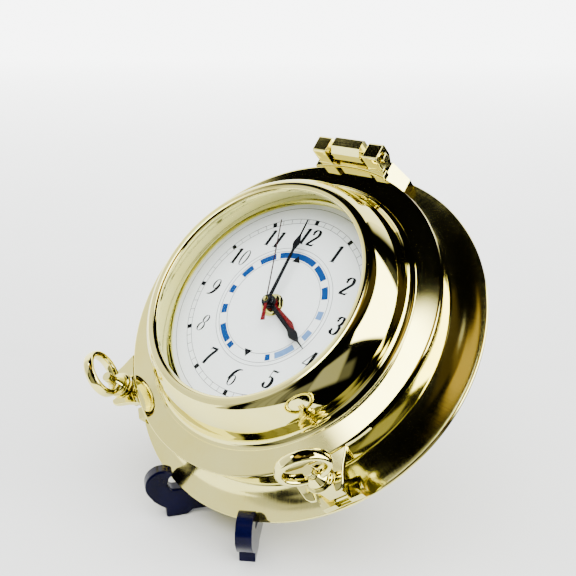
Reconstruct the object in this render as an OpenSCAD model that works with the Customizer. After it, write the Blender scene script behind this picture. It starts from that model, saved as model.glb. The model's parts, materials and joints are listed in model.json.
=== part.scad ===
// Ship's porthole deck clock with a tide ring, leaning back in a two-leg desk stand.
// Millimetres, +Z up, the dial faces -Y and upwards.
// The origin is on the floor under the middle of the object.
// Clock coordinates inside in_clock(): +z along the dial axis towards the viewer,
// +y to 12 o'clock, +x to 3 o'clock.

/* [Stance] */
// Angle the dial leans back from upright
lean_back = 45; // [30:1:60]
// Height of the middle of the clock's back above the floor
case_h = 110.5; // [100:0.5:140]

/* [Case] */
// Outer radius of the mounting flange
flange_r = 127; // [120:0.5:135]
// Radius of the drum wall
drum_r = 106.4; // [104:0.1:108]
// Wall thickness of the drum
drum_wall = 3; // [2:0.1:4]
// Height of the flange's inner edge
flange_h = 9.4; // [8:0.1:11]
// Front edge of the drum
drum_top = 28.4; // [26:0.1:29]
// Thickness of the back cover
cover_t = 1.5; // [1.2:0.1:1.6]

/* [Door] */
// Outer radius of the bezel
bezel_r = 109.6; // [108:0.1:111]
// Back face of the bezel
bezel_z0 = 30.6; // [30:0.1:31.5]
// Front face of the bezel's flat ring
bezel_z1 = 35.3; // [34:0.1:36]
// Foot radius of the domed bulge
dome_r = 89.8; // [88:0.1:91]
// Radius of the crest of the bulge
crest_r = 76.2; // [75:0.1:78]
// Height of the crest of the bulge
crest_z = 63.75; // [60:0.05:66]
// Radius of the front opening
opening_r = 71.4; // [70:0.1:73]
// Front edge of the opening
opening_z = 62; // [60:0.1:63]
// Glass radius
glass_r = 79.8; // [79:0.1:80]
// Glass thickness
glass_t = 2.5; // [2:0.1:3]

/* [Dial] */
// Front face of the dial
dial_z = 38.3; // [37:0.1:39]
// Radius of the visible sleeve
sleeve_r = 77.7; // [77:0.1:78.2]
// Middle radius of the minute track
track_r = 62.5; // [60:0.5:64]
// Middle radius of the tide band
tide_r = 36.5; // [34:0.5:38]
// Centre radius of the hour numerals
numeral_r = 51.6; // [50:0.2:53]

/* [Hands] */
// Hour hand direction, clockwise from 12
hour_angle = 118.2; // [0:0.1:360]
// Minute hand direction, clockwise from 12
minute_angle = 357.5; // [0:0.1:360]
// Second hand direction, clockwise from 12
second_angle = 339; // [0:0.1:360]
// Tide hand direction, clockwise from 12
tide_angle = 113.5; // [0:0.1:360]

/* [Dogs] */
// Place of the two swing bolts, clockwise from 12 on the right, mirrored on the left
dog_angle = 135; // [120:1:150]
// Distance of the swing bolts from the dial axis
bolt_r = 120.5; // [119:0.1:122]
// Pivot height of the swing bolts
pivot_z = 6.2; // [6:0.1:7]
// Middle of the ring nuts
ring_z = 55.2; // [52:0.1:58]
// Outer radius of the ring nuts
ring_r = 16; // [14:0.1:17]

/* [Hinge] */
// Hinge axis distance from the dial axis
hinge_y = 116; // [115:0.1:117]
// Hinge axis height
hinge_z = 42.6; // [42:0.1:44]

/* [Stand] */
// Half angle between the two legs
leg_angle = 34; // [30:1:38]
// Leg thickness
leg_t = 10; // [8:0.5:12]
// Distance of a foot's toe from the middle plane
toe_x = 36.8; // [34:0.2:40]

/* [Hidden] */
$fn = 96;
bore_gap = 0.06;
eps = 0.01;
dish_r = 20.9;
dish_c = [122, 2.4 + dish_r];
ring_w = 7;
ring_reach = ring_w / 2 * 0.5 + ring_r * sqrt(0.75);
front_reach = (bolt_r * cos(180 - dog_angle) * sin(lean_back) + ring_z * cos(lean_back)) + ring_reach;
case_y = (front_reach - flange_r * sin(lean_back)) / 2;
lug_z1 = 35;
nut_z0 = lug_z1 + 0.5;
glass_z = 56.2;
sleeve_top = 54;
seat_r = 84;
print_t = 0.12;
tide_hand_z = 41.2;
hour_hand_z = 42.9;
minute_hand_z = 44.8;
second_hand_z = 46.6;
move_z0 = 20.8;
move_z1 = dial_z - 1.5;
move_half = 28;
lap_z = 13.5;
slant = 0.17;
numeral_h = 12.4;
nib = 0.07;
red_x = 6.45;
rotor_x = 12;
third_y = 6.55;
work_x = -8.15;
idler_y = 8.05;
knob_x = -15.8;
toe_fwd = 93.1;
cross_u = toe_x / sin(leg_angle);
rest_gap = 0.55 + leg_t / 2 * sin(leg_angle);
cross_y = case_y - toe_fwd + toe_x / tan(leg_angle);

brass = [0.86, 0.74, 0.42];
polished = [0.90, 0.80, 0.50];
black = [0.05, 0.05, 0.07];
white = [0.93, 0.94, 0.95];
plastic = [0.03, 0.03, 0.12];
steel = [0.62, 0.62, 0.65];
red = [0.75, 0.05, 0.07];

module in_clock() {
    translate([0, case_y, case_h]) rotate([90 - lean_back, 0, 0]) children();
}

// Direction on the dial, clockwise from 12.
module toward(a) {
    rotate([0, 0, -a]) children();
}

// Local x along the rim, y outwards; the left dog is the mirror of the right one.
module at_dog(side) {
    mirror([side < 0 ? 1 : 0, 0, 0]) toward(dog_angle) children();
}

module tube(ri, ro, z0, z1) {
    translate([0, 0, z0]) difference() {
        cylinder(r = ro, h = z1 - z0);
        translate([0, 0, -1]) cylinder(r = ri, h = z1 - z0 + 2);
    }
}

module disc(r, z0, z1) {
    translate([0, 0, z0]) cylinder(r = r, h = z1 - z0);
}

// A block given by its two opposite corners.
module block(a, b) {
    translate(a) cube([b[0] - a[0], b[1] - a[1], b[2] - a[2]]);
}

// A bar drawn in the y-z plane and centred on x.
module bar_x(half) {
    translate([-half, 0, 0]) rotate([90, 0, 90]) linear_extrude(height = 2 * half) children();
}

module rod_x(r, x0, x1, y, z) {
    translate([x0, y, z]) rotate([0, 90, 0]) cylinder(r = r, h = x1 - x0);
}

module rod_y(r, y0, y1, x, z) {
    translate([x, y0, z]) rotate([-90, 0, 0]) cylinder(r = r, h = y1 - y0);
}

// ---- case ----

module flange_solid() {
    rotate_extrude() difference() {
        translate([drum_r, 0]) square([flange_r - drum_r, flange_h]);
        translate(dish_c) circle(r = dish_r);
    }
}

module flange() {
    color(brass) in_clock() rotate_extrude() difference() {
        translate([drum_r, 0]) square([flange_r - drum_r, flange_h]);
        translate(dish_c) circle(r = dish_r);
        difference() {
            translate([drum_r - 1, -1]) square([10.6, flange_h]);
            translate(dish_c) circle(r = dish_r + 2.4);
        }
    }
}

module drum() {
    color(brass) in_clock() tube(drum_r - drum_wall, drum_r, cover_t, drum_top);
}

module front_ring() {
    color(brass) in_clock() tube(seat_r, drum_r - drum_wall, 25.6, 28);
}

module dial_seat() {
    color(brass) in_clock() difference() {
        tube(79.5, seat_r, 25.6, dial_z - 1.5);
        for (a = [45 : 90 : 315]) toward(a) translate([0, 82, 30]) cylinder(r = 0.8, h = 20);
    }
}

module back_cover() {
    color(brass) in_clock() difference() {
        disc(drum_r - 0.4, 0, cover_t);
        disc(20, -1, 3);
        for (a = [45 : 90 : 315]) toward(a) translate([0, 96, -eps])
            cylinder(r1 = 3, r2 = 1.5, h = cover_t + 2 * eps);
        translate([0, 82, -1]) cylinder(r = 5, h = 4);
        block([-2.6, 82, -1], [2.6, 91, 3]);
        translate([0, 91, -1]) cylinder(r = 2.6, h = 4);
    }
}

module cover_lugs() {
    color(brass) in_clock() for (a = [45 : 90 : 315]) toward(a) intersection() {
        difference() {
            block([-6, 90, cover_t], [6, 110, 9.5]);
            translate([0, 96, 0]) cylinder(r = 1.25, h = 20);
        }
        cylinder(r = drum_r - drum_wall, h = 30);
    }
}

module cover_screws() {
    color(steel) in_clock() for (a = [45 : 90 : 315]) toward(a) translate([0, 96, 0]) difference() {
        union() {
            cylinder(r1 = 2.9, r2 = 1.4, h = cover_t);
            cylinder(r = 1.25, h = 8.5);
        }
        block([-3, -0.4, -1], [3, 0.4, 0.5]);
    }
}

// Steel plate with the keyhole's narrow slot, riveted inside the cover.
module hanger_plate() {
    color(steel) in_clock() difference() {
        block([-12, 76, cover_t], [12, 98, cover_t + 1.2]);
        translate([0, 82, -1]) cylinder(r = 5, h = 9);
        block([-2.6, 82, -1], [2.6, 91, 9]);
        translate([0, 91, -1]) cylinder(r = 2.6, h = 9);
    }
}

module door_seal() {
    color(black) in_clock() tube(98.4, 102, 28, 30.2);
}

// ---- dial ----

module dial_plate() {
    color(brass) in_clock() difference() {
        disc(seat_r, dial_z - 1.5, dial_z - 0.5);
        disc(4.1, 0, 60);
        for (a = [45 : 90 : 315]) toward(a) translate([0, 82, 30]) cylinder(r = 1, h = 20);
    }
}

module dial_face() {
    color(white) in_clock() difference() {
        disc(seat_r, dial_z - 0.5, dial_z);
        disc(4.1, 0, 60);
        for (a = [45 : 90 : 315]) toward(a) translate([0, 82, 30]) cylinder(r = 1, h = 20);
    }
}

module line_ring(r, w) {
    tube(r - w / 2, r + w / 2, dial_z, dial_z + print_t);
}

module dial_track() {
    color(black) in_clock() {
        line_ring(72.6, 0.25);
        line_ring(track_r + 1.7, 0.25);
        line_ring(track_r - 1.7, 0.25);
        line_ring(tide_r + 5.4, 0.25);
        line_ring(tide_r + 3, 0.25);
        line_ring(tide_r - 3, 0.25);
        for (i = [0 : 59]) if (i % 5 != 0) toward(6 * i)
            block([-0.12, track_r - 1.55, dial_z], [0.12, track_r + 1.55, dial_z + print_t]);
        for (i = [0 : 11]) toward(30 * i)
            block([-1.45, track_r - 1.55, dial_z], [1.45, track_r + 1.55, dial_z + print_t]);
        tide_marks();
    }
}

// Two triangles at high and low tide that point outwards into the tide band.
module tide_marks() {
    for (a = [0, 180]) toward(a) translate([0, 0, dial_z]) linear_extrude(height = print_t)
        polygon([[-3.1, tide_r - 4.4], [3.1, tide_r - 4.4], [0, tide_r + 0.5]]);
}

// A slice of the tide band between two directions.
module band(a0, a1) {
    steps = ceil((a1 - a0) / 10);
    far = 60;
    pts = [for (i = [0 : steps]) let(a = a0 + (a1 - a0) * i / steps) [far * sin(a), far * cos(a)]];
    intersection() {
        tube(tide_r - 2.1, tide_r + 2.1, dial_z, dial_z + print_t);
        translate([0, 0, dial_z - 1]) linear_extrude(height = 3) polygon(concat([[0, 0]], pts));
    }
}

module tide_dark() {
    spans = [[-45.7, -27.3], [-22.7, 23.4], [27.1, 46.5], [55, 68.6], [151.4, 156.7], [201.3, 207.7],
        [211, 233], [246, 256], [269.5, 278.4], [291, 305]];
    color([0.03, 0.35, 0.72]) in_clock() difference() {
        for (s = spans) band(s[0], s[1]);
        tide_marks();
    }
}

module tide_light() {
    spans = [[81.6, 90.3], [103.5, 113.6], [125.2, 146.3]];
    color([0.55, 0.71, 0.93]) in_clock() for (s = spans) band(s[0], s[1]);
}

// ---- hour numerals: pen strokes of changing width on a grid 0.62 wide and 1 high ----

function unit(v) = v / norm(v);
function lean_pt(p) = [(p[0] + slant * (p[1] - 0.5)) * numeral_h, (p[1] - 0.5) * numeral_h];
function arc_pts(c, rx, ry, a0, a1, n = 14) =
    [for (i = [0 : n]) let(a = a0 + (a1 - a0) * i / n) [c[0] + rx * cos(a), c[1] + ry * sin(a)]];
function tangent(p, i) = unit(p[min(i + 1, len(p) - 1)] - p[max(i - 1, 0)]);
// Upright parts of a stroke are broad and flat parts are thin.
function half_w(t) = 0.024 + nib * pow(abs(t[1]), 1.2);
function side(p, s) = [for (i = [0 : len(p) - 1]) let(t = tangent(p, i), w = half_w(t))
    lean_pt(p[i] + s * w * [-t[1], t[0]])];
function flip(v) = [for (i = [len(v) - 1 : -1 : 0]) v[i]];

module stroke(p) {
    polygon(concat(side(p, 1), flip(side(p, -1))));
}

module poly(p) {
    polygon([for (q = p) lean_pt(q)]);
}

module loop(c, rx, ry) {
    difference() {
        polygon([for (q = arc_pts(c, rx + 0.05, ry + 0.014, 0, 348, 29)) lean_pt(q)]);
        polygon([for (q = arc_pts(c, rx - 0.05, ry - 0.014, 0, 348, 29)) lean_pt(q)]);
    }
}

module dot(c) {
    translate(lean_pt(c)) circle(r = 0.07 * numeral_h, $fn = 24);
}

module digit(d) {
    if (d == 0) loop([0.31, 0.5], 0.19, 0.475);
    if (d == 1) union() {
        stroke([[0.36, 0.98], [0.35, 0.75], [0.35, 0.5], [0.35, 0.25], [0.35, 0.02]]);
        poly([[0.39, 1], [0.31, 0.98], [0.18, 0.9], [0.18, 0.87], [0.32, 0.91]]);
        poly([[0.2, 0], [0.5, 0], [0.5, 0.03], [0.2, 0.03]]);
    }
    if (d == 2) union() {
        stroke(concat(arc_pts([0.31, 0.72], 0.2, 0.26, 165, -20), [[0.42, 0.5], [0.26, 0.27], [0.12, 0.06]]));
        poly([[0.08, 0], [0.5, 0], [0.55, 0.16], [0.5, 0.15], [0.44, 0.1], [0.1, 0.1]]);
        dot([0.15, 0.72]);
    }
    if (d == 3) union() {
        stroke(arc_pts([0.3, 0.76], 0.17, 0.22, 160, -90));
        stroke(arc_pts([0.29, 0.27], 0.21, 0.26, 90, -165));
        dot([0.16, 0.76]);
        dot([0.12, 0.24]);
    }
    if (d == 4) union() {
        stroke([[0.42, 1], [0.42, 0.75], [0.42, 0.5], [0.42, 0.25], [0.42, 0]]);
        poly([[0.42, 1], [0.37, 1], [0.04, 0.3], [0.1, 0.3]]);
        poly([[0.04, 0.25], [0.58, 0.25], [0.58, 0.3], [0.04, 0.3]]);
        poly([[0.3, 0], [0.54, 0], [0.54, 0.03], [0.3, 0.03]]);
    }
    if (d == 5) union() {
        stroke(arc_pts([0.28, 0.32], 0.2, 0.3, 118, -160));
        poly([[0.16, 1], [0.19, 1], [0.21, 0.56], [0.17, 0.53]]);
        poly([[0.16, 1], [0.5, 1], [0.54, 1.02], [0.48, 0.9], [0.17, 0.9]]);
        dot([0.12, 0.22]);
    }
    if (d == 6) union() {
        loop([0.31, 0.3], 0.17, 0.285);
        stroke([for (i = [0 : 12]) let(t = i / 12)
            [0.11 + 0.44 * t * t, 0.32 + 0.66 * sin(90 * t)]]);
    }
    if (d == 7) union() {
        poly([[0.16, 0.88], [0.55, 0.88], [0.58, 1], [0.14, 1], [0.11, 0.8], [0.14, 0.8]]);
        stroke([[0.52, 0.92], [0.4, 0.68], [0.31, 0.45], [0.26, 0.22], [0.24, 0]]);
    }
    if (d == 8) union() {
        loop([0.32, 0.75], 0.145, 0.23);
        loop([0.3, 0.27], 0.175, 0.255);
    }
    if (d == 9) union() {
        loop([0.31, 0.7], 0.17, 0.285);
        stroke([for (i = [0 : 12]) let(t = i / 12)
            [0.51 - 0.44 * t * t, 0.68 - 0.66 * sin(90 * t)]]);
    }
}

module dial_numerals() {
    pitch = 0.6 * numeral_h;
    color(black) in_clock() translate([0, 0, dial_z]) linear_extrude(height = print_t)
        for (n = [1 : 12]) translate([numeral_r * sin(30 * n), numeral_r * cos(30 * n)]) {
            if (n < 10) translate([-0.31 * numeral_h, 0]) digit(n);
            if (n > 9) translate([-0.31 * numeral_h - pitch / 2, 0]) digit(1);
            if (n > 9) translate([-0.31 * numeral_h + pitch / 2, 0]) digit(n - 10);
        }
}

// Deep tube between dial and glass, with the foot ring that clamps the dial.
module dial_sleeve() {
    color(polished) in_clock() difference() {
        union() {
            tube(sleeve_r, 79.2, dial_z + 1, sleeve_top);
            tube(75.8, seat_r, dial_z, dial_z + 1.6);
        }
        for (a = [45 : 90 : 315]) toward(a) translate([0, 82, 30]) cylinder(r = 1, h = 20);
    }
}

module sleeve_screws() {
    color(steel) in_clock() for (a = [45 : 90 : 315]) toward(a) translate([0, 82, 0]) {
        disc(0.8, 32, dial_z + 1.6);
        disc(1.8, dial_z + 1.6, dial_z + 2.8);
    }
}

// ---- hinge ----

module hinge_post() {
    color(polished) in_clock() difference() {
        union() {
            intersection() {
                bar_x(40) polygon([[hinge_y + 0.2, hinge_z], [hinge_y + 6.5, hinge_z],
                    [hinge_y + 6.5, 1], [104, 1], [104, 28.4], [hinge_y + 0.2, 28.4]]);
                translate([0, 130, 0]) rotate([90, 0, 0]) linear_extrude(height = 40) polygon([[-30, 0],
                    [30, 0], [30, 10], [24, 28.4], [11.3, 28.4], [11.3, 50], [-11.3, 50], [-11.3, 28.4],
                    [-24, 28.4], [-30, 10]]);
            }
            bar_x(11.3) polygon([[hinge_y - 3, hinge_z - 4.4], [hinge_y + 6.5, hinge_z - 4.4],
                [hinge_y + 6.5, hinge_z + 6.8], [hinge_y + 5.4, hinge_z + 7.9],
                [hinge_y - 1.2, hinge_z + 7.9], [hinge_y - 5, hinge_z + 4.1], [hinge_y - 5, hinge_z - 2.4]]);
        }
        cylinder(r = drum_r, h = 40);
        flange_solid();
        rod_x(2.5, -20, 20, hinge_y, hinge_z);
    }
}

module hinge_pin() {
    color(polished) in_clock() {
        rod_x(2.5, -27.4, 27.4, hinge_y, hinge_z);
        for (s = [-1, 1]) translate([s * 26.7, hinge_y, hinge_z]) rotate([0, s * 90, 0])
            cylinder(r1 = 3.6, r2 = 2.6, h = 1.6);
    }
}

module hinge_leaf() {
    ear_in = 15;
    ear_out = 26;
    color(polished) in_clock() difference() {
        union() {
            intersection() {
                tube(bezel_r, 115, bezel_z0 + 0.2, 36);
                block([-28, 90, 0], [28, 130, 60]);
            }
            for (s = [-1, 1]) translate([s * (ear_in + ear_out) / 2, 0, 0])
                bar_x((ear_out - ear_in) / 2)
                    polygon([[108.5, bezel_z0 + 0.2], [hinge_y + 3, bezel_z0 + 0.2],
                        [hinge_y + 6.6, hinge_z - 4], [hinge_y + 6.6, hinge_z + 5.2],
                        [hinge_y + 5.2, hinge_z + 6.6], [hinge_y - 5.2, hinge_z + 6.6],
                        [hinge_y - 6.2, hinge_z + 5.6], [hinge_y - 6.2, 36]]);
        }
        cylinder(r = bezel_r, h = 36);
        rod_x(2.5 + bore_gap, -40, 40, hinge_y, hinge_z);
    }
}

// ---- dogs ----

module bracket(side) {
    color(polished) in_clock() at_dog(side) difference() {
        block([-12.7, bolt_r - 5.3, 0.5], [12.7, bolt_r + 5.7, pivot_z + 3]);
        block([-4.3, bolt_r - 10, -1], [4.3, bolt_r + 4.3, 20]);
        block([-4.3, bolt_r, 4.2], [4.3, bolt_r + 10, 20]);
        flange_solid();
        rod_x(1.5, -20, 20, bolt_r, pivot_z);
    }
}

module bracket_left() {
    bracket(-1);
}

module bracket_right() {
    bracket(1);
}

module dog_pivots() {
    color(polished) in_clock() for (side = [-1, 1]) at_dog(side) {
        rod_x(1.5, -13.6, 13.6, bolt_r, pivot_z);
        rod_x(2.2, -13.9, -12.7, bolt_r, pivot_z);
        rod_x(2.2, 12.7, 13.9, bolt_r, pivot_z);
    }
}

module bolt(side) {
    thread_top = 51;
    color(polished) in_clock() at_dog(side) translate([0, bolt_r, 0]) difference() {
        union() {
            rod_x(3.4, -4, 4, 0, pivot_z);
            block([-3.9, -2.8, pivot_z], [3.9, 2.8, 14]);
            block([-5.2, -4, 13.4], [5.2, 4, 34.2]);
            disc(3, 34, thread_top);
            for (z = [nut_z0 + 9.8 : 1.5 : thread_top - 1.4]) disc(3.3, z, z + 0.7);
        }
        rod_x(1.5 + bore_gap, -20, 20, 0, pivot_z);
    }
}

module bolt_left() {
    bolt(-1);
}

module bolt_right() {
    bolt(1);
}

// Ring-handled nut; the bolt's thread shows inside the ring.
module nut(side) {
    color(polished) in_clock() at_dog(side) translate([0, bolt_r, 0]) difference() {
        union() {
            disc(8.4, nut_z0, nut_z0 + 2);
            disc(6.8, nut_z0 + 2, nut_z0 + 5);
            translate([0, 0, nut_z0 + 5]) cylinder(r1 = 6.8, r2 = 5.2, h = 2.6);
            difference() {
                rod_y(ring_r, -ring_w / 2, ring_w / 2, 0, ring_z);
                rod_y(ring_r - 4.4, -ring_w, ring_w, 0, ring_z);
            }
        }
        disc(3 + bore_gap, 0, nut_z0 + 9.5);
    }
}

module nut_left() {
    nut(-1);
}

module nut_right() {
    nut(1);
}

// ---- door ----

function bowed(v, power) = pow(max(v, 0), power);
function dome_pt(a) = [crest_r + (dome_r - crest_r) * bowed(cos(a), 1.3),
    bezel_z1 + (crest_z - bezel_z1) * bowed(sin(a), 1.3)];
function lip_pt(a) = [crest_r - (crest_r - opening_r) * bowed(cos(a), 0.6),
    opening_z + (crest_z - opening_z) * bowed(sin(a), 0.6)];

module bezel() {
    // The dome's foot runs into a hollow curve before the flat ring.
    foot = [for (i = [0 : 6]) [93.9 + 4.4 * cos(270 - 14 * i), bezel_z1 + 4.8 + 4.4 * sin(270 - 14 * i)]];
    dome = [for (i = [5 : 28]) dome_pt(90 * i / 28)];
    lip = [for (i = [1 : 8]) lip_pt(90 - 90 * i / 8)];
    inner = [[opening_r, 60.4], [73, 59.2], [80.2, 59.2], [80.2, 52], [83, 46], [85, 40], [86.5, 35],
        [87, bezel_z0], [bezel_r - 0.8, bezel_z0], [bezel_r, bezel_z0 + 0.8], [bezel_r, bezel_z1 - 1.2],
        [bezel_r - 0.35, bezel_z1 - 0.35], [bezel_r - 1.2, bezel_z1]];
    step = [[94.4, bezel_z1], [94.2, bezel_z1 + 0.3]];
    color(polished) in_clock() rotate_extrude($fn = 180) polygon(concat(foot, dome, lip, inner, step));
}

module gasket() {
    color(black) in_clock() tube(73.2, glass_r, glass_z + glass_t, 59.2);
}

module glass() {
    color([0.85, 0.92, 0.95, 0.35]) in_clock() disc(glass_r, glass_z, glass_z + glass_t);
}

module glass_retainer() {
    color(brass) in_clock() tube(75.4, 80.2, 54.6, glass_z);
}

module lug(side) {
    color(polished) in_clock() at_dog(side) difference() {
        translate([0, 0, bezel_z0 + 0.2]) linear_extrude(height = lug_z1 - bezel_z0 - 0.2) difference() {
            polygon([[-21, 105], [-17.6, 112.4], [-14.8, 118], [-13.2, 123], [-11.6, 127.4], [-9.4, 129.6],
                [-7.4, 130], [7.4, 130], [9.4, 129.6], [11.6, 127.4], [13.2, 123], [14.8, 118],
                [17.6, 112.4], [21, 105]]);
            translate([0, bolt_r - 2.5]) circle(r = 5.9);
            translate([-5.9, bolt_r - 2.5]) square([11.8, 20]);
            circle(r = bezel_r);
        }
        // The prongs fall away outwards so that the nut's collar clears them as it swings.
        bar_x(30) polygon([[bolt_r + 2.5, lug_z1], [140, lug_z1 - 4.7], [140, 50], [bolt_r + 2.5, 50]]);
    }
}

module lug_left() {
    lug(-1);
}

module lug_right() {
    lug(1);
}

// ---- quartz movement ----

module movement_tray() {
    w = 1.3;
    h = move_half;
    color(black) in_clock() difference() {
        block([-h, -h, move_z0], [h, h, move_z1 - 3]);
        block([-h + w, -11.5, move_z0 + 1.5], [h - w, h - w, 40]);
        block([-h + w, -h + w, -1], [h - w, -12.6, 40]);
        translate([knob_x, 0, 0]) cylinder(r = 1.3, h = 30);
    }
}

module movement_lid() {
    h = move_half;
    color(black) in_clock() difference() {
        block([-h, -h, move_z1 - 3], [h, h, move_z1]);
        block([-h + 1.3, -11.5, 0], [h - 1.3, h - 1.3, move_z1 - 1.5]);
        block([-h + 1.3, -h + 1.3, 0], [h - 1.3, -12.6, move_z1 - 0.5]);
        disc(4, 0, 60);
    }
}

module bushing() {
    color(polished) in_clock() tube(2.61, 4, 33.6, 40.9);
}

module fixing_washer() {
    color(polished) in_clock() tube(4.02, 7.8, dial_z, dial_z + 0.5);
}

module fixing_nut() {
    color(polished) in_clock() difference() {
        intersection() {
            translate([0, 0, dial_z + 0.5]) cylinder(r = 7.2, h = 1.9, $fn = 6);
            translate([0, 0, dial_z + 0.5]) cylinder(r1 = 7.4, r2 = 6.5, h = 1.9);
        }
        disc(4.02, 0, 60);
    }
}

module battery() {
    color([0.2, 0.2, 0.22]) in_clock() {
        rod_x(6.7, -24.4, 23, -19.4, 28.2);
        rod_x(2.6, 23, 24.4, -19.4, 28.2);
    }
}

module battery_contacts() {
    color(steel) in_clock() {
        block([24.5, -25, 23], [24.9, -14, 33]);
        block([-25, -25, 23], [-24.6, -14, 33]);
    }
}

module circuit_board() {
    color([0.05, 0.3, 0.15]) in_clock() {
        block([8, 10, 22.4], [26, 26, 23.4]);
        block([12, 13, 23.4], [17, 18, 24.6]);
        rod_x(1, 17, 23, 22, 24.4);
    }
}

module coil() {
    color([0.7, 0.3, 0.12]) in_clock() difference() {
        union() {
            rod_y(2.9, -8, 4, 21.5, 28.6);
            rod_y(3.4, -8.4, -7.6, 21.5, 28.6);
            rod_y(3.4, 3.6, 4.4, 21.5, 28.6);
        }
        rod_y(1.25, -20, 20, 21.5, 28.6);
    }
}

module stator() {
    color(steel) in_clock() difference() {
        union() {
            block([8.6, -9.8, 25.5], [17.4, 6.8, 27.3]);
            block([17.2, -10.8, 25.5], [23.5, -8.9, 29.8]);
            block([17.2, 4.9, 25.5], [23.5, 6.8, 29.8]);
            block([8.6, -10.8, 25.5], [17.4, -8.9, 27.3]);
            rod_y(1.2, -10, 6, 21.5, 28.6);
        }
        translate([rotor_x, 0, 20]) cylinder(r = 2.75, h = 20);
    }
}

module rotor() {
    color(steel) in_clock() translate([rotor_x, 0, 0]) {
        disc(0.35, 22.5, 28.6);
        disc(0.9, 23.9, 25.1);
        disc(2.4, 25.3, 27.6);
    }
}

// Spoked plastic wheel with a boss.
module wheel(r, z0, z1, hub) {
    difference() {
        disc(r, z0, z1);
        for (a = [0 : 90 : 270]) rotate(a) translate([(r + hub) / 2, 0, z0 - 1])
            cylinder(r = max(0.3, (r - hub) * 0.32), h = z1 - z0 + 2);
    }
}

module reduction_wheel() {
    color(white) in_clock() translate([red_x, 0, 0]) {
        disc(0.4, 22.4, 29);
        disc(0.9, 22.7, 24.2);
        wheel(4.5, 24.2, 24.8, 0.9);
    }
}

module second_wheel() {
    color(white) in_clock() {
        disc(0.5, 22.6, 47);
        wheel(5.4, 23, 23.6, 0.9);
        disc(0.8, 23.6, 26.2);
    }
}

module third_wheel() {
    color(white) in_clock() translate([0, third_y, 0]) {
        disc(0.35, 22.4, 28.9);
        wheel(5.6, 25.3, 25.9, 0.8);
        disc(0.669, 25.9, 27.8);
    }
}

module minute_wheel() {
    color(white) in_clock() difference() {
        union() {
            wheel(5.731, 26.6, 27.4, 1.9);
            disc(1.2, 26.6, minute_hand_z + 0.9);
            disc(2, 27.4, 29.2);
        }
        disc(0.5 + bore_gap, 0, 60);
    }
}

module work_wheel() {
    color(white) in_clock() translate([work_x, 0, 0]) {
        disc(0.4, 22.4, 35.2);
        wheel(6, 28.2, 29, 1.6);
        disc(1.6, 29, 30.9);
    }
}

module hour_wheel() {
    color(white) in_clock() difference() {
        union() {
            wheel(6.4, 29.8, 30.6, 2.9);
            disc(1.9, 29.8, hour_hand_z + 0.9);
            disc(2.9, 30.6, 31.8);
        }
        disc(1.2 + bore_gap, 0, 60);
    }
}

module tide_idler() {
    color(white) in_clock() translate([0, idler_y, 0]) {
        disc(0.4, 29.4, 35.2);
        wheel(5, 31, 31.7, 1.4);
        wheel(4.937, 32.1, 32.9, 1.4);
        disc(1.4, 31, 32.9);
    }
}

module tide_wheel() {
    color(white) in_clock() difference() {
        union() {
            disc(2.963, 32.1, 32.9);
            disc(2.55, 32.1, tide_hand_z + 0.7);
        }
        disc(1.9 + bore_gap, 0, 60);
    }
}

module set_knob() {
    color(black) in_clock() translate([knob_x, 0, 0]) difference() {
        union() {
            disc(1.2, 16, 30);
            disc(1.5, 28.2, 29);
            disc(5.2, 15.4, 19.8);
        }
        for (a = [0 : 30 : 330]) rotate(a) translate([5.4, 0, 14]) cylinder(r = 0.5, h = 10);
    }
}

// ---- hands ----

module hour_hand() {
    color(black) in_clock() toward(hour_angle) difference() {
        union() {
            disc(4.6, hour_hand_z - 0.5, hour_hand_z + 1);
            translate([0, 0, hour_hand_z - 0.2]) linear_extrude(height = 0.5) polygon([[-1.5, 3], [-1.3, 27],
                [-3, 31.5], [-3, 33], [-1.9, 36], [-0.6, 38.4], [-0.3, 45.5], [0.3, 45.5], [0.6, 38.4],
                [1.9, 36], [3, 33], [3, 31.5], [1.3, 27], [1.5, 3]]);
        }
        disc(1.9, 0, 60);
    }
}

module minute_hand() {
    color(black) in_clock() toward(minute_angle) difference() {
        union() {
            disc(4, minute_hand_z - 0.6, minute_hand_z + 1);
            translate([0, 0, minute_hand_z - 0.2]) linear_extrude(height = 0.5) polygon([[-1.35, 3],
                [-1, 38], [-2.5, 42], [-2.5, 43.4], [-1.5, 46.4], [-0.6, 48.6], [-0.45, 60.6],
                [0.45, 60.6], [0.6, 48.6], [1.5, 46.4], [2.5, 43.4], [2.5, 42], [1, 38], [1.35, 3]]);
        }
        disc(1.2, 0, 60);
    }
}

module second_hand() {
    color(red) in_clock() toward(second_angle) difference() {
        union() {
            disc(2.6, second_hand_z - 0.5, second_hand_z + 0.6);
            translate([0, 0, second_hand_z - 0.2]) linear_extrude(height = 0.4) polygon([[-1.5, -14.5],
                [1.5, -14.5], [0.9, -2], [0.42, 2], [0.34, 59.5], [-0.34, 59.5], [-0.42, 2], [-0.9, -2]]);
        }
        disc(0.5, 0, 47);
    }
}

// Bright tip pressed on the end of the second arbor.
module second_cap() {
    color(polished) in_clock() difference() {
        union() {
            disc(1.7, second_hand_z + 0.6, second_hand_z + 1.5);
            translate([0, 0, second_hand_z + 1.5]) cylinder(r1 = 1.7, r2 = 1, h = 0.5);
        }
        disc(0.5, 0, 47);
    }
}

module tide_hand() {
    color(red) in_clock() toward(tide_angle) difference() {
        union() {
            disc(4.4, tide_hand_z - 0.2, tide_hand_z + 0.5);
            translate([0, 0, tide_hand_z - 0.1]) linear_extrude(height = 0.5) polygon([[-2, 3], [-2.2, 24],
                [0, 29.8], [2.2, 24], [2, 3]]);
        }
        disc(2.55, 0, 60);
    }
}

// ---- stand ----

// Height of the case's back plane over a point u behind the toe.
function back_w(u) = case_h - (toe_fwd - u * cos(leg_angle));

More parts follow.
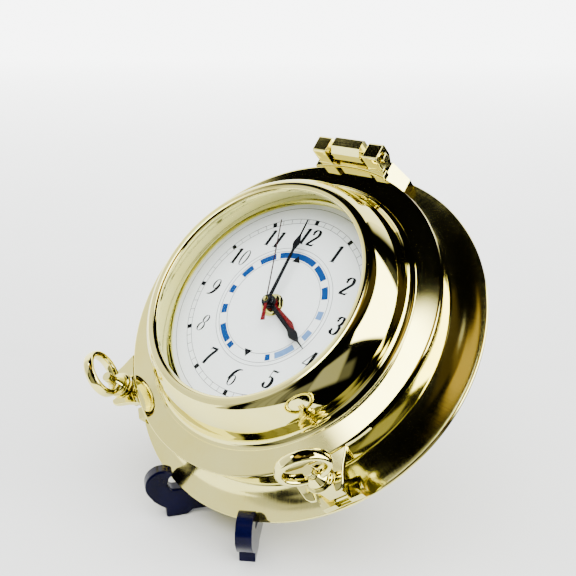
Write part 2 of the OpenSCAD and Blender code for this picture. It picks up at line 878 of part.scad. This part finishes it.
module leg_profile() {
    hook = [for (a = [45 : 10 : 215]) [-1.5 + 11.2 * cos(a), 24 + 11.2 * sin(a)]];
    polygon(concat([[0, 0], [14, 0], [17, 3], [104, 3], [108, 0], [124, 0], [124, back_w(124) - rest_gap],
        [100, back_w(100) - rest_gap], [95, back_w(95) - 9 - rest_gap], [92, 57], [84, 32], [70, 20.6],
        [12, 20.4], [4.4, 20.7], [1.6, 24.4], [3, 29]], hook, [[-7.5, 12.8], [-3, 8.8], [0, 6.8]]));
}

module leg(side) {
    translate([0, cross_y, 0]) rotate([0, 0, side * leg_angle]) translate([0, -cross_u, 0])
        translate([-leg_t / 2, 0, 0]) rotate([90, 0, 90]) linear_extrude(height = leg_t) leg_profile();
}

// A slab along one leg, used to cut the other leg's half-lap.
module leg_slab(side, z0, z1) {
    translate([0, cross_y, 0]) rotate([0, 0, side * leg_angle])
        block([-leg_t / 2 - 0.1, -40, z0], [leg_t / 2 + 0.1, 40, z1]);
}

module leg_right() {
    color(plastic) difference() {
        leg(1);
        leg_slab(-1, lap_z, 80);
    }
}

module leg_left() {
    color(plastic) difference() {
        leg(-1);
        leg_slab(1, -1, lap_z + 0.1);
    }
}

flange();
drum();
front_ring();
dial_seat();
back_cover();
cover_lugs();
cover_screws();
hanger_plate();
door_seal();
dial_plate();
dial_face();
dial_track();
dial_numerals();
tide_dark();
tide_light();
dial_sleeve();
sleeve_screws();
hinge_post();
hinge_pin();
bracket_left();
bracket_right();
dog_pivots();
bolt_left();
bolt_right();
nut_left();
nut_right();
bezel();
gasket();
glass();
glass_retainer();
hinge_leaf();
lug_left();
lug_right();
movement_tray();
movement_lid();
bushing();
fixing_washer();
fixing_nut();
battery();
battery_contacts();
circuit_board();
coil();
stator();
rotor();
reduction_wheel();
second_wheel();
third_wheel();
minute_wheel();
work_wheel();
hour_wheel();
tide_idler();
tide_wheel();
set_knob();
hour_hand();
minute_hand();
second_hand();
second_cap();
tide_hand();
leg_left();
leg_right();
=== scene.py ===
"""Looks of a ship's deck clock: brass case and door, tide dial, ring nuts, crossed-leg stand."""

import json
import math

import bmesh
import bpy
from mathutils import Matrix, Vector

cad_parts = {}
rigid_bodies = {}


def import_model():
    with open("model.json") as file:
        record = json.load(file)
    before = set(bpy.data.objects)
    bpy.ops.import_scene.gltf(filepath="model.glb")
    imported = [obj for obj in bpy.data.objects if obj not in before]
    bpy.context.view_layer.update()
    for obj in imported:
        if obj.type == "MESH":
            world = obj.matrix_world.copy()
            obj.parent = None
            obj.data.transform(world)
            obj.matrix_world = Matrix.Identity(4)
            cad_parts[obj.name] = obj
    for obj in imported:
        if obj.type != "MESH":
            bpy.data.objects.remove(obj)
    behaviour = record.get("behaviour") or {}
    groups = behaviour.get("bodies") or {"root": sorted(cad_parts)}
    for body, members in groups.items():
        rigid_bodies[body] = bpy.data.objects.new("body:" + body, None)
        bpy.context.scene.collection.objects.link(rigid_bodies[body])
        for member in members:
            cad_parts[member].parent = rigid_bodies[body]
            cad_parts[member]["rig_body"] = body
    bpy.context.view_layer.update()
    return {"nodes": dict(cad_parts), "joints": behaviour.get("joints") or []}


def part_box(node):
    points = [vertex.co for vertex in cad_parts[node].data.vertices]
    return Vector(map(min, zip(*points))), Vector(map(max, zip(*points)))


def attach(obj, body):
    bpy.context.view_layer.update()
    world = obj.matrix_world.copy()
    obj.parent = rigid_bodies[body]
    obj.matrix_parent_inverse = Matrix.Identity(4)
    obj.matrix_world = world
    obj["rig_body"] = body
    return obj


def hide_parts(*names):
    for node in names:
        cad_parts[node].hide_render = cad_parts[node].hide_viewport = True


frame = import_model()

# ---- the clock's own axes: x to 3 o'clock, y to 12, z along the dial axis to the viewer ----

MM = 0.001
# Millimetres: the plate of the back cover, which stands on z = 0.
COVER_THICKNESS = 1.5
JOINTS = {j["name"]: j for j in frame["joints"]}
AXIS_X = Vector((1, 0, 0))
AXIS_Y = Vector(JOINTS["lift_off"]["axis"]).normalized()
AXIS_Z = AXIS_X.cross(AXIS_Y)
cover_lo, cover_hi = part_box("back_cover")
HUB = (cover_lo + cover_hi) / 2 - AXIS_Z * (COVER_THICKNESS / 2) * MM
CLOCK = Matrix.Translation(HUB) @ Matrix((AXIS_X, AXIS_Y, AXIS_Z)).transposed().to_4x4()

# Lengths in millimetres on these axes: the swing bolts, the dome's highest circle, its foot,
# the glass opening with the height of its lip, and the face of the door's flat ring.
BOLT_R = 120.5
CREST_R, CREST_Z = 76.2, 63.75
DOME_R = 89.8
OPENING_R, LIP_Z = 71.4, 61.4
RING_Z = 35.3
# Powers that make the dome's outer side and its lip fuller or hollower than an ellipse.
DOME_POWER, LIP_POWER = 1.3, 0.55
# Direction of the second hand at rest, in degrees clockwise from 12.
SECOND_HEADING = 339
# How far the floor reaches, in metres.
FLOOR_REACH = 40


def toward(angle):
    """Turns +y to a direction on the dial, in degrees clockwise from 12."""
    return Matrix.Rotation(math.radians(-angle), 4, "Z")


DOG = {"right": CLOCK @ toward(135), "left": CLOCK @ toward(225)}

# ---- node materials ----


class Tree:
    """The node tree of a material or world, with short calls for the nodes used here."""

    def __init__(self, owner, output="ShaderNodeOutputMaterial"):
        owner.use_nodes = True
        self.owner = owner
        self.nodes = owner.node_tree.nodes
        self.links = owner.node_tree.links
        self.nodes.clear()
        self.out = self.nodes.new(output)

    def add(self, kind, inputs=None, **props):
        node = self.nodes.new(kind)
        for key, value in props.items():
            setattr(node, key, value)
        for key, value in (inputs or {}).items():
            self.put(node.inputs[key], value)
        return node

    def put(self, socket, value):
        if isinstance(value, bpy.types.NodeSocket):
            self.links.new(value, socket)
        else:
            socket.default_value = value

    def mix(self, factor, a, b):
        shaders = {0: factor, 1: a.outputs[0], 2: b.outputs[0]}
        return self.add("ShaderNodeMixShader", shaders)

    def end(self, shader):
        """Sends a shader to the output, and gives what the tree belongs to."""
        self.put(self.out.inputs["Surface"], shader.outputs[0])
        return self.owner

    def math(self, operation, a, b=0.0):
        return self.add("ShaderNodeMath", {0: a, 1: b}, operation=operation).outputs[0]

    def vector(self, operation, a, b=(0, 0, 0)):
        return self.add("ShaderNodeVectorMath", {0: a, 1: b}, operation=operation)

    def frame_point(self):
        """The point in metres in the shared frame, with the clock at rest."""
        return self.add("ShaderNodeTexCoord").outputs["Object"]

    def place(self):
        """The point in metres on the clock's axes, with the clock at rest."""
        from_hub = self.vector("SUBTRACT", self.frame_point(), HUB).outputs[0]
        axes = {key: self.vector("DOT_PRODUCT", from_hub, axis).outputs["Value"]
                for key, axis in zip("XYZ", (AXIS_X, AXIS_Y, AXIS_Z))}
        return self.add("ShaderNodeCombineXYZ", axes).outputs[0]

    def noise(self, vector, scale, detail=4.0, rough=0.55):
        values = {"Vector": vector, "Scale": scale, "Detail": detail, "Roughness": rough}
        return self.add("ShaderNodeTexNoise", values).outputs["Fac"]

    def ramp(self, factor, low, high, at=(0.35, 0.65)):
        node = self.add("ShaderNodeValToRGB", {"Fac": factor})
        node.color_ramp.elements[0].position = at[0]
        node.color_ramp.elements[0].color = (*low, 1)
        node.color_ramp.elements[1].position = at[1]
        node.color_ramp.elements[1].color = (*high, 1)
        return node.outputs["Color"]

    def span(self, factor, low, high):
        """From 0..1 to low..high."""
        values = {"Value": factor, "To Min": low, "To Max": high}
        return self.add("ShaderNodeMapRange", values).outputs["Result"]

    def rise(self, value, start, end, blend="LINEAR"):
        """From start..end to 0..1."""
        values = {"Value": value, "From Min": start, "From Max": end}
        return self.add("ShaderNodeMapRange", values, interpolation_type=blend).outputs["Result"]

    def polar(self, around, along):
        """Coordinates that wrap round the dial axis, with detail by angle and by radius."""
        place = self.place()
        flat = self.vector("MULTIPLY", place, (1, 1, 0)).outputs[0]
        radius = self.vector("LENGTH", flat).outputs["Value"]
        unit = self.vector("NORMALIZE", flat).outputs[0]
        parts = self.add("ShaderNodeSeparateXYZ", {0: unit})
        high = self.add("ShaderNodeSeparateXYZ", {0: place}).outputs["Z"]
        depth = self.math("MULTIPLY", self.math("ADD", radius, high), along)
        return self.add("ShaderNodeCombineXYZ", {
            "X": self.math("MULTIPLY", parts.outputs["X"], around),
            "Y": self.math("MULTIPLY", parts.outputs["Y"], around),
            "Z": depth,
        }).outputs[0]

    def bump(self, height, strength, distance=0.0002):
        values = {"Height": height, "Strength": strength, "Distance": distance}
        return self.add("ShaderNodeBump", values).outputs["Normal"]

    def surface(self, **values):
        inputs = {key.replace("_", " "): value for key, value in values.items()}
        return self.end(self.add("ShaderNodeBsdfPrincipled", inputs))


def finish_tree(name):
    return Tree(bpy.data.materials.new(name))


BRASS_PALE = (0.94, 0.88, 0.32)
BRASS_DEEP = (0.90, 0.80, 0.21)


def brass(name, rough=(0.03, 0.08), lines=(2.0, 900.0), depth=0.05, wave=0.14):
    """Polished brass with fine turning or brushing lines and soft cloudy tarnish."""
    t = finish_tree(name)
    cloud = t.noise(t.place(), 28.0, 5.0, 0.6)
    line = t.noise(t.polar(*lines), 1.0, 3.0, 0.6)
    swell = t.noise(t.place(), 14.0, 1.0)
    mixed = t.math("ADD", t.math("MULTIPLY", line, depth), t.math("MULTIPLY", swell, wave))
    return t.surface(
        Base_Color=t.ramp(cloud, BRASS_DEEP, BRASS_PALE, (0.25, 0.7)),
        Metallic=1.0,
        Roughness=t.span(t.math("MULTIPLY", cloud, line), rough[0], rough[1] * 2),
        Normal=t.bump(mixed, 0.25),
    )


def plain(name, colour, rough, speck=0.12, scale=120.0, bump=0.1, **extra):
    """Moulded, painted or printed surface with a fine grain."""
    t = finish_tree(name)
    grain = t.noise(t.place(), scale, 4.0)
    low = tuple(c * (1 - speck) for c in colour)
    high = tuple(min(1, c * (1 + speck)) for c in colour)
    return t.surface(
        Base_Color=t.ramp(grain, low, high),
        Roughness=t.span(t.noise(t.place(), scale * 0.3), rough * 0.75, rough * 1.3),
        Normal=t.bump(grain, bump, 0.0001),
        **extra,
    )


def sweep_paint(name, heading):
    """The second hand's lacquer: red tail, black hub and dark red long end."""
    t = finish_tree(name)
    turn = math.radians(heading)
    way = (math.sin(turn), math.cos(turn), 0)
    along = t.vector("DOT_PRODUCT", t.place(), way).outputs["Value"]
    tail, blade = (
        t.rise(along, start * MM, end * MM) for start, end in ((-3.1, -2.7), (2.7, 3.1)))
    node = t.add("ShaderNodeValToRGB", {"Fac": t.math("MULTIPLY", t.math("ADD", tail, blade), 0.5)})
    node.color_ramp.elements[0].color = (0.1, 0.0005, 0.002, 1)
    node.color_ramp.elements[1].color = (0.02, 0.001, 0.002, 1)
    node.color_ramp.elements.new(0.5).color = (0.008, 0.008, 0.009, 1)
    grain = t.noise(t.place(), 300.0)
    return t.surface(
        Base_Color=node.outputs["Color"],
        Roughness=t.span(grain, 0.2, 0.35),
        Normal=t.bump(grain, 0.05, 0.0001),
        Specular_IOR_Level=0.15,
    )


def metal(name, colour, rough, scale=300.0):
    """Bright or brushed steel and copper."""
    t = finish_tree(name)
    grain = t.noise(t.place(), scale, 5.0)
    low = tuple(c * 0.8 for c in colour)
    return t.surface(
        Base_Color=t.ramp(grain, low, colour),
        Metallic=1.0,
        Roughness=t.span(grain, rough * 0.7, rough * 1.4),
        Normal=t.bump(grain, 0.1, 0.0001),
    )


def pane(name):
    """Clear flat glass: light passes straight, and its faces mirror a little."""
    t = finish_tree(name)
    clear = t.add("ShaderNodeBsdfTransparent", {"Color": (0.97, 0.985, 0.98, 1)})
    smear = t.noise(t.place(), 30.0)
    gloss = t.add("ShaderNodeBsdfGlossy", {"Roughness": t.span(smear, 0.0, 0.03)})
    edge = t.add("ShaderNodeFresnel", {"IOR": 1.06})
    return t.end(t.mix(edge.outputs[0], clear, gloss))


MIRROR = brass("polished_brass")
DOOR = brass("spun_brass_door", rough=(0.02, 0.06), lines=(1.2, 1500.0), depth=0.04)
DISH = brass("brushed_brass_dish", rough=(0.04, 0.16), lines=(160.0, 30.0), depth=0.3, wave=0.08)
SLEEVE = brass("sleeve_brass", rough=(0.06, 0.12), lines=(1.0, 600.0), depth=0.12)
SATIN = brass("satin_brass", rough=(0.2, 0.35), lines=(1.5, 700.0), depth=0.5)
STEEL = metal("bright_steel", (0.72, 0.72, 0.74), 0.25)
COPPER = metal("copper_wire", (0.85, 0.42, 0.2), 0.3, 900.0)
RUBBER = plain("black_rubber", (0.02, 0.02, 0.022), 0.7, 0.3)
WHITE = plain("white_dial", (0.86, 0.87, 0.885), 0.35, 0.012, 400.0, 0.03)
INK = plain("black_ink", (0.003, 0.003, 0.004), 0.45, 0.3, 500.0, 0.05, Specular_IOR_Level=0.1)
BLUE = plain("blue_ink", (0.0, 0.035, 0.17), 0.45, 0.08, 500.0, 0.05, Specular_IOR_Level=0.1)
LIGHT_BLUE = plain("light_blue_ink", (0.09, 0.2, 0.44), 0.45, 0.08, 500.0, 0.05)
HAND_BLACK = plain("black_hand_lacquer", (0.003, 0.003, 0.004), 0.2, 0.3, 300.0, 0.05,
                   Specular_IOR_Level=0.15)
HAND_RED = plain("red_hand_lacquer", (0.1, 0.0005, 0.002), 0.3, 0.1, 300.0, 0.05,
                 Specular_IOR_Level=0.15)
SWEEP = sweep_paint("sweep_hand_lacquer", SECOND_HEADING)
SHELL = plain("black_moulded_plastic", (0.018, 0.018, 0.02), 0.5, 0.25, 700.0, 0.25)
NYLON = plain("white_nylon", (0.8, 0.8, 0.76), 0.4, 0.06, 300.0, 0.08)
CELL = plain("cell_wrap", (0.05, 0.05, 0.06), 0.3, 0.1, 200.0, 0.05)
BOARD = plain("green_board", (0.02, 0.16, 0.07), 0.35, 0.25, 400.0, 0.2)
NAVY = plain("navy_gloss_plastic", (0.001, 0.001, 0.012), 0.12, 0.35, 60.0, 0.04,
             Specular_IOR_Level=0.1)
GLASS = pane("clear_glass")

# ---- mesh helpers; all lengths in millimetres on the clock's axes unless said ----


def piece(name, mesh, mat, body, nodes, place=CLOCK, sharp=35):
    """Puts a mesh in the frame, riding on a body in place of CAD nodes."""
    mesh.polygons.foreach_set("use_smooth", [True] * len(mesh.polygons))
    mesh.set_sharp_from_angle(angle=math.radians(sharp))
    mesh.materials.append(mat)
    mesh.transform(place)
    obj = bpy.data.objects.new(name, mesh)
    bpy.context.scene.collection.objects.link(obj)
    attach(obj, body)
    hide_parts(*nodes)
    return obj


def mesh_of(name, points, faces):
    mesh = bpy.data.meshes.new(name)
    mesh.from_pydata([Vector(p) * MM for p in points], [], faces)
    bm = bmesh.new()
    bm.from_mesh(mesh)
    bmesh.ops.recalc_face_normals(bm, faces=bm.faces)
    bm.to_mesh(mesh)
    bm.free()
    return mesh


def rounded(corners, steps=5):
    """A closed outline of (a, b, radius) corners with its corners turned into arcs."""
    out = []
    count = len(corners)
    for i, (a, b, radius) in enumerate(corners):
        here = Vector((a, b))
        before = Vector(corners[i - 1][:2]) - here
        after = Vector(corners[(i + 1) % count][:2]) - here
        turn = before.angle(after)
        if radius <= 0 or turn > math.pi - 1e-3:
            out.append((a, b))
            continue
        reach = min(radius / math.tan(turn / 2), before.length * 0.49, after.length * 0.49)
        start, end = here + before.normalized() * reach, here + after.normalized() * reach
        for k in range(steps + 1):
            f = k / steps
            p = start * (1 - f) ** 2 + here * 2 * f * (1 - f) + end * f ** 2
            out.append((p.x, p.y))
    return out


def braced(outline, gap=0.2):
    """The outline with a point close to each end of its long sides, so that they shade flat."""
    out = []
    for i, (a, b) in enumerate(outline):
        out.append((a, b))
        c, d = outline[(i + 1) % len(outline)]
        length = math.hypot(c - a, d - b)
        if length > 2.0:
            out += [(a + (c - a) * f, b + (d - b) * f) for f in (gap / length, 1 - gap / length)]
    return out


def lathe(name, outline, turns=256):
    """The closed outline of (radius, height) points turned about the z axis."""
    outline = braced(outline)
    points, faces = [], []
    count = len(outline)
    for i in range(turns):
        a = 2 * math.pi * i / turns
        points += [(r * math.sin(a), r * math.cos(a), z) for r, z in outline]
    for i in range(turns):
        here, there = i * count, (i + 1) % turns * count
        for k in range(count):
            m = (k + 1) % count
            faces.append((here + k, here + m, there + m, there + k))
    return mesh_of(name, points, faces)


def arc(centre, radius, start, end, steps):
    """Points of a circular arc, in degrees."""
    turn = [math.radians(start + (end - start) * i / steps) for i in range(steps + 1)]
    return [(centre[0] + radius * math.cos(a), centre[1] + radius * math.sin(a)) for a in turn]


def soften(node, mat, width=0.5, segments=3, sharp=35):
    """The CAD node's own shape with its edges rounded."""
    source = frame["nodes"][node]
    mesh = source.data.copy()
    mesh.materials.clear()
    bm = bmesh.new()
    bm.from_mesh(mesh)
    bmesh.ops.remove_doubles(bm, verts=bm.verts, dist=1e-6)
    bmesh.ops.dissolve_limit(bm, angle_limit=math.radians(0.6), verts=bm.verts, edges=bm.edges)
    bmesh.ops.recalc_face_normals(bm, faces=bm.faces)
    bm.to_mesh(mesh)
    bm.free()
    here = Matrix.Identity(4)
    obj = piece(node + "_finished", mesh, mat, source["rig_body"], [node], here, sharp=sharp)
    bevel = obj.modifiers.new("rounded_edges", "BEVEL")
    bevel.width = width * MM
    bevel.segments = segments
    bevel.limit_method = "ANGLE"
    bevel.angle_limit = math.radians(38)
    bevel.harden_normals = True
    return obj


def paint(mat, *nodes):
    """Gives a finish to CAD nodes that keep their shape."""
    for node in nodes:
        data = frame["nodes"][node].data
        data.materials.clear()
        data.materials.append(mat)


# ---- case: closed outlines of (radius, height) points, in millimetres ----


def flange():
    outline = [(106.4, 9.3), (106.4, 7.0)]
    outline += arc((122, 23.3), 23.3, 227, 257, 14)[1:]
    outline += [(117.2, 0.0), (126.5, 0.0), (126.9, 0.3), (127.0, 0.9), (127.0, 1.9), (126.7, 2.3)]
    outline += [p for p in arc((126, 32.3), 29.9, 270, 229, 60) if 107 < p[0] < 126.1]
    mesh = lathe("dish_flange", outline, 360)
    piece("dish_flange", mesh, DISH, "case", ["flange"])


def drum():
    outline = rounded([
        (103.4, 1.5, 0.2), (106.4, 1.5, 0.2), (106.4, 28.4, 0.8), (103.4, 28.4, 0.8)])
    mesh = lathe("drum_wall", outline, 320)
    piece("drum_wall", mesh, MIRROR, "case", ["drum"])


def sleeve():
    outline = [(77.7, 54.0), (77.7, 42.0), (77.5, 40.4), (76.6, 39.9), (75.8, 39.6), (75.8, 38.3)]
    outline += [(84, 38.3), (84, 39.9), (79.2, 39.9), (79.2, 54.0)]
    mesh = lathe("dial_well", outline, 320)
    piece("dial_well", mesh, SLEEVE, "case", ["dial_sleeve"])


# ---- door ----


def bezel():
    """A hollow curve at the dome's foot, the dome, its lip, the inside and the flat ring."""
    outline = arc((93.9, 40.1), 4.4, 270, 186, 14)
    for i in range(9, 49):
        a = math.pi / 2 * i / 48
        out, up = max(math.cos(a), 0.0) ** DOME_POWER, math.sin(a) ** DOME_POWER
        outline.append((CREST_R + (DOME_R - CREST_R) * out, RING_Z + (CREST_Z - RING_Z) * up))
    for i in range(1, 17):
        a = math.pi / 2 - math.pi / 2 * i / 16
        out, up = max(math.cos(a), 0.0) ** LIP_POWER, max(math.sin(a), 0.0) ** LIP_POWER
        outline.append((CREST_R - (CREST_R - OPENING_R) * out, LIP_Z + (CREST_Z - LIP_Z) * up))
    outline += [(OPENING_R, LIP_Z - 1), (73, 59.2), (80.2, 59.2)]
    outline += [(80.2, 52), (83.0, 46), (85, 40), (86.5, 35)]
    outline += [(87, 30.6), (108.8, 30.6), (109.4, 30.85), (109.6, 31.4), (109.6, 34.1)]
    outline += [(109.35, 34.85), (108.4, RING_Z)]
    outline += [(94.6, RING_Z), (94.4, 35.35), (94.3, 35.55), (94.2, 35.7)]
    piece("domed_bezel", lathe("domed_bezel", outline, 384), DOOR, "door", ["bezel"],
          sharp=40)


def glass():
    outline = rounded([(0.01, 56.2, 0), (79.8, 56.2, 0.3), (79.8, 58.7, 0.3), (0.01, 58.7, 0)])
    piece("front_glass", lathe("front_glass", outline, 128), GLASS, "door", ["glass"])


# ---- dogs ----


def ring_handle(name, side, body, node):
    """The ring nut: a turned collar that flows into a ring with a rounded rim."""
    foot_z, bore_r = 35.5, 3.06
    rim_z, rim_r, rim_wide, rim_deep, squareness = 55.2, 13.8, 2.2, 3.45, 0.75
    collar = rounded([
        (bore_r, foot_z, 0), (8.4, foot_z, 0.5), (8.4, foot_z + 1.9, 0.6),
        (6.7, foot_z + 2.2, 0.3), (6.7, foot_z + 4.8, 1.0), (5.0, foot_z + 7.4, 1.5),
        (3.6, foot_z + 9.4, 0.6), (bore_r, foot_z + 9.4, 0)])
    points, faces = [], []
    turns, around = 96, 28
    for i in range(turns):
        a = 2 * math.pi * i / turns
        for k in range(around):
            b = 2 * math.pi * k / around
            c, s = math.cos(b), math.sin(b)
            r = rim_r + rim_wide * math.copysign(abs(c) ** squareness, c)
            deep = rim_deep * math.copysign(abs(s) ** squareness, s)
            points.append((r * math.sin(a), deep, rim_z + r * math.cos(a)))
    for i in range(turns):
        for k in range(around):
            m = (k + 1) % around
            n = (i + 1) % turns
            faces.append((i * around + k, i * around + m, n * around + m, n * around + k))
    ring = mesh_of(name + "_ring", points, faces)
    base = lathe(name, collar, 96)
    bm = bmesh.new()
    bm.from_mesh(base)
    bm.from_mesh(ring)
    bm.to_mesh(base)
    bm.free()
    place = DOG[side] @ Matrix.Translation((0, BOLT_R * MM, 0))
    piece(name, base, MIRROR, body, [node], place, sharp=50)


# ---- finishes of the CAD pieces that keep their shape ----


def finishes():
    paint(SATIN, "front_ring", "dial_seat", "back_cover", "cover_lugs", "dial_plate",
          "glass_retainer")
    paint(STEEL, "cover_screws", "hanger_plate", "sleeve_screws", "battery_contacts", "stator",
          "rotor")
    paint(RUBBER, "door_seal", "gasket")
    paint(WHITE, "dial_face")
    paint(INK, "dial_track", "dial_numerals")
    paint(BLUE, "tide_dark")
    paint(LIGHT_BLUE, "tide_light")
    paint(HAND_BLACK, "hour_hand", "minute_hand")
    paint(HAND_RED, "tide_hand")
    paint(SHELL, "movement_tray", "movement_lid", "set_knob")
    paint(MIRROR, "bushing", "fixing_washer")
    paint(CELL, "battery")
    paint(BOARD, "circuit_board")
    paint(COPPER, "coil")
    paint(NYLON, "reduction_wheel", "second_wheel", "third_wheel", "minute_wheel", "work_wheel",
          "hour_wheel", "tide_idler", "tide_wheel")
    for node in ("hinge_post", "hinge_leaf", "bracket_left", "bracket_right", "lug_left",
                 "lug_right"):
        soften(node, MIRROR, 0.7)
    for node in ("bolt_left", "bolt_right"):
        soften(node, MIRROR, 0.5)
    for node in ("hinge_pin", "dog_pivots", "fixing_nut", "second_cap"):
        soften(node, MIRROR, 0.25)
    soften("second_hand", SWEEP, 0.05, 1)
    for node in ("leg_left", "leg_right"):
        soften(node, NAVY, 1.6, 4)


# ---- studio ----


def floor_part(name, corners, mat):
    mesh = bpy.data.meshes.new(name)
    mesh.from_pydata([(x, y, 0) for x, y in corners], [], [range(len(corners))])
    mesh.materials.append(mat)
    obj = bpy.data.objects.new(name, mesh)
    bpy.context.scene.collection.objects.link(obj)
    return obj


def floor():
    t = finish_tree("pale_floor_painted_glow")
    grain = t.noise(t.frame_point(), 3.0)
    # Painted light: the floor glows more the farther back it lies, with no glow within 0.2 m and
    # full glow from 3.5 m, so the far floor looks brighter than the near.
    depth = t.vector("DOT_PRODUCT", t.frame_point(), (-0.6, 0.8, 0)).outputs["Value"]
    paper_with_painted_glow = t.surface(
        Base_Color=t.ramp(grain, (0.57, 0.582, 0.58), (0.59, 0.602, 0.6)), Roughness=0.8,
        Emission_Color=(0.985, 1.0, 0.995, 1),
        Emission_Strength=t.math("MULTIPLY", t.rise(depth, 0.2, 3.5), 4.0))
    # The floor to the right and in front is left out of reflections, as if dark beyond an edge.
    reach = FLOOR_REACH
    edge = [(0.15, reach), (0.15, 0.0), (0.2, -0.22), (0.05, -0.3), (-0.1, -0.33), (-14, -reach)]
    floor_part("floor", edge + [(-reach, -reach), (-reach, reach)], paper_with_painted_glow)
    beyond = floor_part("floor_beyond", [(reach, reach), *edge, (reach, -reach)], paper_with_painted_glow)
    beyond.visible_glossy = False


def world():
    """Soft cards that the brass mirrors, and a pale backdrop behind the clock."""
    studio = bpy.data.worlds.new("studio")
    bpy.context.scene.world = studio
    t = Tree(studio, "ShaderNodeOutputWorld")
    coord = t.add("ShaderNodeTexCoord").outputs["Generated"]
    x, y, z = t.add("ShaderNodeSeparateXYZ", {0: coord}).outputs
    heading = t.math("ARCTAN2", x, t.math("MULTIPLY", y, -1.0))
    height = t.math("ARCSINE", z)

    def card(left, right, bottom, top, level, edge=3.0, lean=(0.0, 0.0)):
        """A card between two headings and two heights, of a strength and with an edge's softness.

        Headings run from 0 at the front to 90 on the right and -90 on the left; all angles are
        in degrees. The two values of lean tilt its lower and upper edge.
        """
        soft = math.radians(edge)

        def past(value, limit):
            limit = math.radians(limit)
            return t.rise(value, limit - soft, limit + soft, "SMOOTHSTEP")

        along = t.math("SUBTRACT", heading, math.radians(left))
        low = t.math("SUBTRACT", height, t.math("MULTIPLY", along, lean[0]))
        high = t.math("SUBTRACT", height, t.math("MULTIPLY", along, lean[1]))
        sides = t.math("MULTIPLY", past(heading, left),
                       t.math("SUBTRACT", 1.0, past(heading, right)))
        ends = t.math("MULTIPLY", past(low, bottom), t.math("SUBTRACT", 1.0, past(high, top)))
        return t.math("MULTIPLY", t.math("MULTIPLY", sides, ends), level)

    def light(cards, least, colour):
        total = least
        for other in cards:
            total = t.math("MAXIMUM", other, total)
        return t.add("ShaderNodeBackground", {"Strength": total, "Color": (*colour, 1)})

    white_wall = [card(-200, -77, -30, 57, 3.2), card(172, 200, 12, 47, 2.4, 7),
                  card(-79, -56, -30, 45.5, 1.6, 2), card(-58, -24, -30, 43, 1.35, 2.5)]
    lamps = [card(-52.5, -38, 44, 53.5, 12, 1.5), card(-40, -30, 40, 50, 0.6, 4),
             card(74, 143, 14, 26, 11, 2, (-0.46, 0.43)), card(143, 152, 5, 30, 0.07, 2),
             card(46, 60, 64, 72, 0.6, 2)]
    room = [card(-26, -17, -30, 24, 0.8, 2), card(-27, -3, 21, 34, 0.55, 3),
            card(-10, -2, 5, 32, 0.4, 2), card(-4, 6, -30, 27, 0.32, 3),
            card(4, 13, -30, 13, 0.4, 2.5), card(12, 21, -30, 7, 0.4, 2.5),
            card(20, 27, -30, -1, 0.2), card(26, 48, -24, -8, 0.22), card(47, 76, -24, 7, 0.5),
            card(74, 88, -24, -9, 0.15)]
    ceiling = [card(-32, 24, 55, 70, 0.7), card(24, 62, 57, 70, 0.15),
               card(40, 125, 42, 66, 0.06, 5)]

    both = t.add("ShaderNodeAddShader", {
        0: light(white_wall + lamps + room, 0.0015, (1.0, 0.995, 0.985)).outputs[0],
        1: light(ceiling, 0.0, (1.0, 0.7, 0.2)).outputs[0],
    })
    # Seen directly, past the edge of the floor, the studio is one pale backdrop.
    backdrop = t.add("ShaderNodeBackground", {"Color": (0.98, 0.99, 1.0, 1), "Strength": 2.2})
    seen = t.add("ShaderNodeLightPath").outputs["Is Camera Ray"]
    t.end(t.mix(seen, both, backdrop))


def overhead():
    data = bpy.data.lights.new("overhead", "SUN")
    data.energy = 10.2
    data.angle = 1.4
    lamp = bpy.data.objects.new("overhead", data)
    bpy.context.scene.collection.objects.link(lamp)
    lamp.rotation_euler = Vector((-0.2, 0.2, -1.0)).to_track_quat("-Z", "Y").to_euler()
    lamp.visible_glossy = False


def camera():
    """Place, direction and lens are fitted to the photograph's hour marks and outlines."""
    data = bpy.data.cameras.new("camera")
    data.lens = 50.72
    data.sensor_width = 36
    obj = bpy.data.objects.new("camera", data)
    bpy.context.scene.collection.objects.link(obj)
    into = Vector((-0.6099, 0.7126, -0.3470)).normalized()
    right = into.cross(Vector((0, 0, 1))).normalized()
    up = right.cross(into)
    turn = Matrix((right, up, -into)).transposed().to_4x4()
    obj.matrix_world = Matrix.Translation((0.3177, -0.3708, 0.3257)) @ turn
    bpy.context.scene.camera = obj


flange()
drum()
sleeve()
bezel()
glass()
ring_handle("ring_nut_right", "right", "wing_right", "nut_right")
ring_handle("ring_nut_left", "left", "wing_left", "nut_left")
finishes()
floor()
world()
overhead()
camera()
